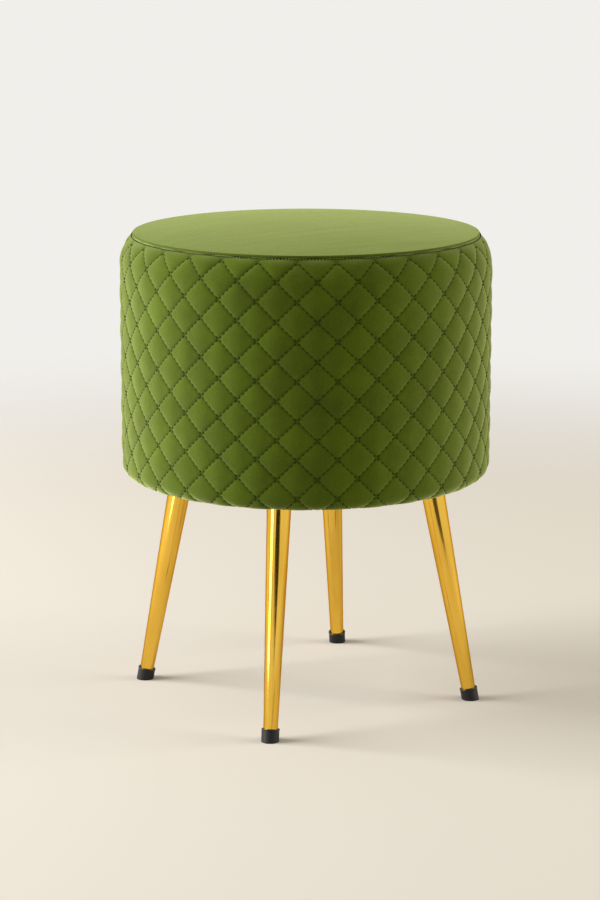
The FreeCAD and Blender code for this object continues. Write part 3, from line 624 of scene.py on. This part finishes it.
class POUF_OT_stitches(bpy.types.Operator):
    """Sew the stitch lines of the diamonds and the row under the welt"""

    bl_idname = "pouf.stitches"
    bl_label = "Stitches"

    # Share of a stitch that lies on top, and of the thread that stands out of its groove
    dash = 0.6
    proud = 0.4
    # The lines begin in this share of the seam margin and end this part of a row over the hem
    margin_share = 0.6
    hem_clear = 0.2
    # The row under the welt: length of a stitch, share on top, place and height
    welt_stitch = 3.2 * MM
    welt_dash = 0.7
    welt_drop = 0.9 * MM
    welt_lift = 0.1 * MM

    def execute(self, context):
        quilt = context.scene.pouf_quilt
        pitch = quilt_pitch()
        sunk = quilt.groove_depth - self.proud * quilt.thread_radius
        first = int(self.margin_share * quilt.seam_margin / pitch * quilt.stitches_per_side)
        count = int((quilt.rows - self.hem_clear) * quilt.stitches_per_side)
        row = (np.arange(-first, count) + (1 - self.dash) / 2) / quilt.stitches_per_side
        step = self.dash / quilt.stitches_per_side
        starts, ends, outward = [], [], []
        for line in range(quilt.columns):
            for way in (-0.5, 0.5):
                begin, out = on_side(line + 0.5 + way * row, row, -sunk)
                end, _ = on_side(line + 0.5 + way * (row + step), row + step, -sunk)
                starts.append(begin)
                ends.append(end)
                outward.append(out)
        thread = thread_material()
        dashes = thread_dashes(
            *(np.concatenate(part) for part in (starts, ends, outward)), quilt.thread_radius)
        new_piece("quilt_stitches", *dashes, thread, "velvet")
        stitches = int(2 * math.pi * quilt.valley_radius / self.welt_stitch)
        column = np.arange(stitches) / stitches * quilt.columns
        reach = self.welt_dash * quilt.columns / stitches
        row = (self.welt_drop - quilt.seam_margin) / pitch
        begin, out = on_side(column, row, self.welt_lift)
        end, _ = on_side(column + reach, row, self.welt_lift)
        dashes = thread_dashes(begin, end, out, quilt.thread_radius)
        new_piece("welt_stitches", *dashes, thread, "velvet")
        return {"FINISHED"}


def turned(profile, segments, closed):
    """Return points and faces of a profile of radius and height turned about the upright axis.

    A closed profile is a ring's section. Another one starts and ends on the axis.
    """
    angle = 2 * math.pi * np.arange(segments) / segments
    body = np.asarray(profile if closed else profile[1:-1], float)
    points = np.stack([
        body[:, 0, None] * np.cos(angle), body[:, 0, None] * np.sin(angle),
        np.repeat(body[:, 1, None], segments, 1)], -1).reshape(-1, 3)
    levels = len(body)
    faces = []
    for level in range(levels if closed else levels - 1):
        upper = (level + 1) % levels
        for place in range(segments):
            following = (place + 1) % segments
            faces.append((level * segments + place, level * segments + following,
                          upper * segments + following, upper * segments + place))
    if not closed:
        points = np.concatenate([points, [[0, 0, profile[0][1]], [0, 0, profile[-1][1]]]])
        last = (levels - 1) * segments
        for place in range(segments):
            following = (place + 1) % segments
            faces.append((len(points) - 2, following, place))
            faces.append((len(points) - 1, last + place, last + following))
    return points, faces


def turned_sheet(profile, segments):
    """Return a sheet turned from a profile that starts on the axis and ends at its edge."""
    points, faces = turned([*profile, (0, profile[-1][1])], segments, False)
    last = len(points) - 1
    return points[:last], [face for face in faces if last not in face]


def bow(start, end, rise, count):
    """Return points on a line from start to end that bows out to its left by a rise."""
    place = np.linspace(0, 1, count)[:, None]
    start, end = np.asarray(start, float), np.asarray(end, float)
    run = end - start
    left = np.array([-run[1], run[0]]) / np.linalg.norm(run)
    return start + place * run + 4 * rise * place * (1 - place) * left


class POUF_OT_seat_top(bpy.types.Operator):
    """Make the plain velvet top, crowned over its padding and rolled in at the welt"""

    bl_idname = "pouf.seat_top"
    bl_label = "Seat top"

    # Rings and segments of the mesh
    rings = 90
    segments = 240
    # The padding's soft waves and where they fade out towards the welt
    wave = 70 * MM
    wave_fade = 25 * MM
    # Painted shade darkens the pile over this height where the cloth turns down into the seam and
    # is pressed
    crease = 0.6 * MM
    crease_shade = 0.9
    # Stretched flat, the pile shows fewer of its tips than on the side
    sheen = 0.35

    def execute(self, context):
        seat = context.scene.pouf_seat
        low, high = BOXES["top_cover"]
        welt_low, welt_high = BOXES["edge_welt"]
        rim = high.x + seat.overhang
        edge = (welt_low.z + welt_high.z) / 2 + seat.edge_rise
        crown = high.z - edge
        inner = rim - seat.edge_roll
        rings = inner * (1 - np.linspace(1, 0, self.rings) ** 2)
        dome = [(r, edge + crown * (1 - (r / rim) ** 2)) for r in rings]
        turn = np.linspace(0, math.pi / 2, 7)[1:]
        shoulder = dome[-1][1] - seat.edge_roll
        roll = [(inner + seat.edge_roll * math.sin(a), shoulder + seat.edge_roll * math.cos(a))
                for a in turn]
        skirt = [(high.x, z) for z in np.linspace(shoulder, low.z, 5)[1:]]
        points, faces = turned_sheet(dome + roll + skirt, self.segments)
        faces = [face[::-1] for face in faces]
        fade = np.clip((rim - np.hypot(points[:, 0], points[:, 1])) / self.wave_fade, 0, 1)
        waves = np.array([noise.noise(Vector(point) / self.wave) for point in points])
        points[:, 2] += seat.unevenness * waves * fade
        velvet = velvet_material("short_pile_velvet_top", True, self.sheen)
        piece = new_piece("seat_top", points, faces, velvet, "velvet", ("top_cover",))
        # Painted shade of the crease under the top's rolled edge, with some pile pressed flat
        # there
        below = shoulder + 0.5 * seat.edge_roll - points[:, 2]
        set_numbers(piece.data, "pressed_and_shade", self.crease_shade * smooth(below / self.crease))
        thicken(piece, seat.cloth_thickness, -1)
        return {"FINISHED"}


class POUF_OT_welt(bpy.types.Operator):
    """Make the velvet welt in the seam round the top"""

    bl_idname = "pouf.welt"
    bl_label = "Welt"

    # Sides and segments of the mesh, and the size and rise of the lumps in the cord
    sides = 16
    segments = 480
    lump = 12 * MM
    lump_rise = 0.12 * MM

    def execute(self, context):
        low, high = BOXES["edge_welt"]
        radius = (high.z - low.z) / 2
        middle, height = high.x - radius, (low.z + high.z) / 2
        turn = 2 * math.pi * np.arange(self.sides) / self.sides
        section = [(middle + radius * math.cos(a), height + radius * math.sin(a)) for a in turn]
        points, faces = turned(section, self.segments, True)
        uneven = np.array([noise.noise(Vector(point) / self.lump) for point in points])
        points[:, 2] += self.lump_rise * uneven
        velvet = bpy.data.materials["short_pile_velvet"]
        piece = new_piece("edge_welt_cord", points, faces, velvet, "velvet", ("edge_welt",))
        return {"FINISHED"}


class POUF_OT_padding(bpy.types.Operator):
    """Make the foam and the wadding inside the covers"""

    bl_idname = "pouf.padding"
    bl_label = "Padding"

    segments = 160
    # Gaps to the wall and between the layers, and the cover's depth over the seat foam
    wall_gap = 0.2 * MM
    layer_gap = 0.4 * MM
    cover_depth = 4.5 * MM

    def side_foam(self, foam):
        """Wrap the wall in foam with a soft lower edge."""
        low, high = BOXES["side_foam"]
        wall, out = BOXES["drum_wall"][1].x + self.wall_gap, high.x
        soft, top_edge, swell = 4 * MM, 1 * MM, 0.2 * MM
        ring = np.concatenate([
            bow((wall, low.z + soft), (out - soft, low.z + soft), -soft / 2, 6),
            bow((out, low.z + 2 * soft), (out, high.z - top_edge), swell, 8),
            bow((out - top_edge, high.z), (wall, high.z), 0, 4)])
        points, faces = turned(ring, self.segments, True)
        piece = new_piece("side_foam_wrap", points, faces, foam, "foam", ("side_foam",))

    def seat_foam(self, foam, rim):
        """Make the seat's foam, rounded under the shoulder and crowned inside the rim."""
        low, high = BOXES["seat_foam"]
        out, ledge = BOXES["side_foam"][1].x, BOXES["seat_wadding"][0].z
        edge, edge_swell, foot = 2 * MM, 0.5 * MM, 4 * MM
        section = [(0, low.z)]
        section += list(bow((out - edge, low.z), (out, low.z + edge), -edge_swell, 3))
        inset = self.cover_depth
        for r, z, a, u in zip(*quilt_profile(np.linspace(60, 1, 12) * MM)):
            if low.z + foot < z - inset * u < ledge:
                section.append((r - inset * a, z - inset * u))
        for share in 1 - np.linspace(0, 1, 13) ** 2:
            section.append((rim * share, ledge + (high.z - ledge) * (1 - share ** 2)))
        points, faces = turned(section, self.segments, False)
        piece = new_piece("seat_foam_block", points, faces, foam, "foam", ("seat_foam",))

    def seat_wadding(self, fibre, rim):
        """Lay the wadding over the seat's foam, thinner towards its edge."""
        low, high = BOXES["seat_wadding"]
        under = BOXES["seat_foam"][1].z + self.layer_gap
        flat, lip, edge = 4 * MM, 1.5 * MM, 3.6 * MM
        spread = np.linspace(0, 1, 12)
        section = [(rim * k, under - (under - low.z - self.layer_gap) * k ** 2) for k in spread]
        section += [(rim + flat, low.z), (high.x, low.z + lip)]
        crown = high.z - low.z - edge
        section += [(high.x * k, high.z - crown * k ** 2) for k in spread[::-1]]
        points, faces = turned(section, self.segments, False)
        piece = new_piece("seat_wadding_layer", points, faces, fibre, "wadding", ("seat_wadding",))

    def execute(self, context):
        # Cut open-cell foam: pale and dead matt, pitted by cells of 1 mm drawn at 1.5 mm to show
        foam = grained_material(
            "open_cell_foam", "#d9cfa6", "#efe7c8", 1.5 * MM, 0.5 * MM, Roughness=0.95)
        # Carded polyester: white and without gloss, cloudy where its fibres bunch
        fibre = grained_material(
            "polyester_wadding", "#e4e3de", "#f6f6f3", 4 * MM, 0.8 * MM, Roughness=1.0)
        rim = BOXES["seat_wadding"][1].x - 6 * MM
        self.side_foam(foam)
        self.seat_foam(foam, rim)
        self.seat_wadding(fibre, rim)
        return {"FINISHED"}


class POUF_OT_dust_cover(bpy.types.Operator):
    """Make the black nonwoven sheet stapled under the base"""

    bl_idname = "pouf.dust_cover"
    bl_label = "Dust cover"

    sheet = 0.6 * MM
    segments = 192
    # Width of the edge that lies over the hem, and the slope down to it
    edge_width = 12 * MM
    slope = 3 * MM
    slope_lead = 2 * MM
    # Small waves between the staples
    waves = 24
    wave_rise = 0.12 * MM

    def execute(self, context):
        low, high = BOXES["dust_cover"]
        edge = high.x
        hem = edge - self.edge_width
        radii = np.concatenate([
            np.linspace(2 * MM, hem - 2 * self.slope_lead, 30),
            np.linspace(hem - self.slope_lead, edge, 12)])
        drop = smooth((radii - hem + self.slope_lead) / self.slope)
        heights = high.z - self.sheet / 2 - (high.z - low.z - self.sheet) * drop
        points, faces = turned_sheet(
            [(0, heights[0]), *zip(radii, heights)], self.segments)
        reach = np.hypot(points[:, 0], points[:, 1])
        angle = np.arctan2(points[:, 1], points[:, 0])
        frill = np.clip((reach - hem) / (edge - hem), 0, 1)
        points[:, 2] += self.wave_rise * frill * np.cos(self.waves * angle)
        # Spunbonded polypropylene: dull black with the speckle of its pressed fibres
        felt = grained_material(
            "black_nonwoven", "#0f0f10", "#2a2a2b", 0.9 * MM, 0.3 * MM, Roughness=0.95)
        piece = new_piece("dust_cover_sheet", points, faces, felt, "nonwoven", ("dust_cover",))
        thicken(piece, self.sheet, 0)
        return {"FINISHED"}


class POUF_OT_frame_finishes(bpy.types.Operator):
    """Give the legs, caps, boards and fasteners of the frame their finishes"""

    bl_idname = "pouf.frame_finishes"
    bl_label = "Frame finishes"

    def execute(self, context):
        colours = context.scene.pouf_finish
        gold = gold_material()
        # Moulded rubber: near black and satin, its mould's 0.2 mm grain drawn at 0.8 mm to show
        rubber = grained_material(
            "moulded_rubber", "#080809", colours.rubber, 0.8 * MM, 0.08 * MM,
            Roughness=0.5, IOR=1.52, Specular_IOR_Level=0.3)
        # Zinc on pressed steel: pale grey and half bright, with a cloudy bloom
        zinc = grained_material(
            "zinc_plated_steel", "#a9acb0", "#cfd1d4", 3 * MM, 0.05 * MM,
            Metallic=1.0, Roughness=0.38)
        # Peeled birch is pale with a close grain, sawn and planed pine yellower with wide rings
        plywood = wood_material("birch_plywood", "#b58a57", "#d9b98a", 3 * MM)
        pine = wood_material("planed_pine", "#c99f63", "#e6c894", 5 * MM)
        # Hot-pressed hardboard: brown and smooth, flecked by its fibres
        hardboard = grained_material(
            "hardboard", "#4a3020", "#6e4a30", 1 * MM, 0.1 * MM, Roughness=0.7)
        finishes = {
            "gold_plate": gold, "rubber": rubber, "steel": zinc, "zinc": zinc,
            "plywood": plywood, "pine": pine, "hardboard": hardboard}
        for part in frame["record"]["subparts"]:
            if part["node"] in SOFT_NODES:
                continue
            mesh = frame["nodes"][part["node"]].data
            mesh.materials.clear()
            mesh.materials.append(finishes[part["material_slot"]])
        return {"FINISHED"}


class POUF_OT_stage(bpy.types.Operator):
    """Set the floor, the soft lights and the camera"""

    bl_idname = "pouf.stage"
    bl_label = "Stage"

    aim_height = 0.3
    # Outlines of the dark cards in metres: across, and up or along the floor
    wedge = [
        (0.7, 0.12), (1.4, 0.25), (0.5, 0.5), (0.5, 2), (-1.4, 2), (-1.4, 0.48), (-0.1, 0.22)]
    patch = [(-0.25, -0.8), (0.02, -0.7), (0.6, -0.9), (0.75, -1.38), (0.34, -1.48)]

    def surroundings(self):
        """Light the pouf evenly from all round, in front of a pale backdrop."""
        stage = bpy.context.scene.pouf_stage
        world = bpy.data.worlds.new("studio")
        world.use_nodes = True
        tree = world.node_tree
        light = tree.nodes["Background"]
        light.inputs["Color"].default_value = linear(stage.ambient_colour)
        light.inputs["Strength"].default_value = stage.ambient
        backdrop = add_node(tree, "ShaderNodeBackground", {"Color": linear(stage.backdrop_colour)})
        rays = add_node(tree, "ShaderNodeLightPath")
        polished = add_node(
            tree, "ShaderNodeMath", {"operation": "MAXIMUM"},
            {0: rays.outputs["Is Glossy Ray"], 1: rays.outputs["Is Transmission Ray"]})
        seen = add_node(
            tree, "ShaderNodeMath", {"operation": "MAXIMUM"},
            {0: rays.outputs["Is Camera Ray"], 1: polished.outputs["Value"]})
        mix = add_node(
            tree, "ShaderNodeMixShader", None,
            {0: seen.outputs["Value"], 1: light.outputs["Background"],
             2: backdrop.outputs["Background"]})
        tree.links.new(mix.outputs["Shader"], tree.nodes["World Output"].inputs["Surface"])
        bpy.context.scene.world = world

    def floor(self):
        """Make a pale matt floor, seen from above only, that fades into the backdrop."""
        colour = linear(bpy.context.scene.pouf_stage.floor_colour)
        material, tree, shader = new_material(
            "painted_floor", Base_Color=colour, Roughness=0.9, Specular_IOR_Level=0.0)
        side = add_node(tree, "ShaderNodeNewGeometry")
        reach = add_node(
            tree, "ShaderNodeVectorMath", {"operation": "LENGTH"}, {0: side.outputs["Position"]})
        fade = add_node(
            tree, "ShaderNodeMapRange",
            {"interpolation_type": "SMOOTHSTEP", "From Min": 0.7, "From Max": 1.9},
            {"Value": reach.outputs["Value"]})
        gone = add_node(
            tree, "ShaderNodeMath", {"operation": "MAXIMUM"},
            {0: fade.outputs["Result"], 1: side.outputs["Backfacing"]})
        clear = add_node(tree, "ShaderNodeBsdfTransparent")
        mix = add_node(
            tree, "ShaderNodeMixShader", None,
            {0: gone.outputs["Value"], 1: shader.outputs["BSDF"], 2: clear.outputs["BSDF"]})
        tree.links.new(mix.outputs["Shader"], tree.nodes["Material Output"].inputs["Surface"])
        self.sheet("floor", [(-2, -2), (2, -2), (2, 2), (-2, 2)], material)

    def sheet(self, name, corners, material):
        """Make a flat stage sheet on the floor."""
        mesh = bpy.data.meshes.new(name)
        mesh.from_pydata([(x, y, 0) for x, y in corners], [], [tuple(range(len(corners)))])
        mesh.materials.append(material)
        item = bpy.data.objects.new(name, mesh)
        bpy.context.scene.collection.objects.link(item)
        return item

    def flag(self, name, corners, material, distance, tilt):
        """Place a dark card on the camera's side that shows in the polished legs only."""
        card = self.sheet(name, corners, material)
        angle = bpy.context.scene.pouf_stage.camera_turn
        card.location = (distance * math.sin(angle), -distance * math.cos(angle), 2 * MM)
        card.rotation_euler = (tilt, 0, angle)
        card.visible_camera = False
        card.visible_diffuse = False
        card.visible_shadow = False

    def light(self, name, turn, height, distance, size, power, colour):
        """Add a soft upright light aimed at the pouf, turned from the camera by degrees."""
        lamp = bpy.data.lights.new(name, "AREA")
        lamp.shape = "RECTANGLE"
        lamp.size, lamp.size_y = size
        lamp.energy = power
        lamp.color = linear(colour)[:3]
        item = bpy.data.objects.new(name, lamp)
        item.visible_camera = False
        angle = bpy.context.scene.pouf_stage.camera_turn + math.radians(turn)
        item.location = (distance * math.sin(angle), -distance * math.cos(angle), height)
        aim = Vector((0, 0, self.aim_height)) - item.location
        item.rotation_euler = aim.to_track_quat("-Z", "Y").to_euler()
        bpy.context.scene.collection.objects.link(item)
        return item

    def execute(self, context):
        stage = context.scene.pouf_stage
        scene = context.scene
        scene.view_settings.view_transform = "Standard"
        self.surroundings()
        self.floor()
        # Matt black card: a warm near black, so that the lines it draws in the gold look bronze
        card, _, _ = new_material("black_card", Base_Color=linear("#120c04"), Roughness=1.0)
        self.flag("standing_flag", self.wedge, card, distance=3.2, tilt=math.pi / 2)
        self.flag("lying_flag", self.patch, card, distance=0, tilt=0)
        self.light(
            "key", turn=-90, height=1.4, distance=3.0, size=(2.2, 2.2),
            power=stage.key_power, colour=stage.lamp_colour)
        strip = self.light(
            "strip", turn=-55, height=0.34, distance=0.7, size=(0.22, 0.6),
            power=stage.strip_power, colour=stage.lamp_colour)
        # The strip draws its line on the legs and leaves the velvet alone
        strip.visible_diffuse = False
        self.light(
            "fill", turn=88, height=1.0, distance=2.4, size=(1.6, 1.6),
            power=stage.fill_power, colour=stage.fill_colour)
        camera = bpy.data.objects.new("camera", bpy.data.cameras.new("camera"))
        camera.data.lens = stage.lens
        camera.data.clip_end = 200
        turn = stage.camera_turn
        camera.location = (
            stage.camera_distance * math.sin(turn), -stage.camera_distance * math.cos(turn),
            stage.camera_height)
        camera.rotation_euler = (math.pi / 2 - stage.camera_pitch, 0, turn + stage.camera_yaw)
        scene.collection.objects.link(camera)
        scene.camera = camera
        return {"FINISHED"}


class POUF_PT_sidebar(bpy.types.Panel):
    """Sidebar panel that lists the pouf's pieces"""

    bl_label = "Pouf"
    bl_idname = "POUF_PT_sidebar"
    bl_space_type = "VIEW_3D"
    bl_region_type = "UI"
    bl_category = "Pouf"

    def draw(self, context):
        for operator in OPERATORS:
            self.layout.operator(operator.bl_idname)
        for name in SETTINGS:
            group = getattr(context.scene, name)
            box = self.layout.box()
            for key in group.__annotations__:
                box.prop(group, key)


SETTINGS = {
    "pouf_quilt": QuiltSettings,
    "pouf_seat": SeatSettings,
    "pouf_finish": FinishSettings,
    "pouf_stage": StageSettings,
}
OPERATORS = (
    POUF_OT_quilted_side,
    POUF_OT_stitches,
    POUF_OT_seat_top,
    POUF_OT_welt,
    POUF_OT_padding,
    POUF_OT_dust_cover,
    POUF_OT_frame_finishes,
    POUF_OT_stage,
)


def register():
    """Register the classes and hang the settings on the scene."""
    for name, group in SETTINGS.items():
        bpy.utils.register_class(group)
        setattr(bpy.types.Scene, name, bpy.props.PointerProperty(type=group))
    for operator in OPERATORS:
        bpy.utils.register_class(operator)
    bpy.utils.register_class(POUF_PT_sidebar)


def unregister():
    """Take the classes and the settings away again."""
    bpy.utils.unregister_class(POUF_PT_sidebar)
    for operator in reversed(OPERATORS):
        bpy.utils.unregister_class(operator)
    for name, group in SETTINGS.items():
        delattr(bpy.types.Scene, name)
        bpy.utils.unregister_class(group)


def main():
    """Dress the pouf."""
    register()
    for operator in OPERATORS:
        group, name = operator.bl_idname.split(".")
        getattr(getattr(bpy.ops, group), name)()


if __name__ == "__main__":
    main()
